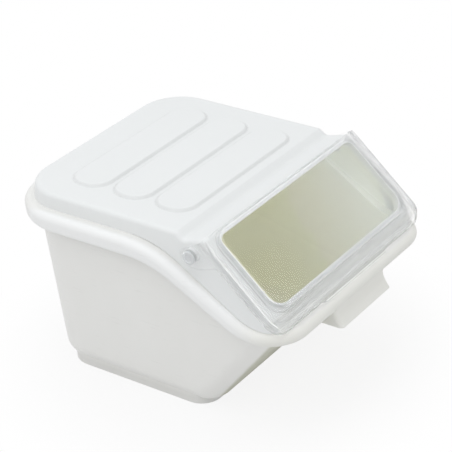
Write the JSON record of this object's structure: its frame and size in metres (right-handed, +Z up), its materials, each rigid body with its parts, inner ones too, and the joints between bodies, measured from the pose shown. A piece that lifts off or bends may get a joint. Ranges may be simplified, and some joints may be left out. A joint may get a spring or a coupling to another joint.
{
  "type": "shelf ingredient bin with flip lid",
  "caption": "Tapered shelf bin for rice with a swooping rolled rim, a lift-off cover with raised pads and a hinged clear flip lid over a sloping front opening.",
  "frame": {"origin": "centre of the whole bin's footprint box, on the shelf, at the underside of the foot", "axes": "+Z up, -Y towards the low front with the flip lid, X along the lid's hinge; the bin is symmetric left to right"},
  "size_m": [0.2912, 0.3512, 0.2201],
  "materials": {
    "tub_plastic": "satin, faintly translucent off-white polyethylene",
    "cover_plastic": "satin cool white",
    "clear_plastic": "clear gloss moulding",
    "pin_plastic": "gloss"
  },
  "bodies": {
    "bin": {"bin": "tub_plastic"},
    "cover": {"cover": "cover_plastic", "hinge_pin_left": "pin_plastic", "hinge_pin_right": "pin_plastic"},
    "lid": {"flip_lid": "clear_plastic"}
  },
  "joints": [
    {"name": "cover_lift", "type": "slide", "parent": "bin", "child": "cover", "axis": [0, 0, 1], "range_m": [0, 0.06]},
    {"name": "lid_hinge", "type": "hinge", "parent": "cover", "child": "lid", "pos_m": [0, -0.0625, 0.197], "axis": [-1, 0, 0], "range_deg": [0, 80]}
  ]
}
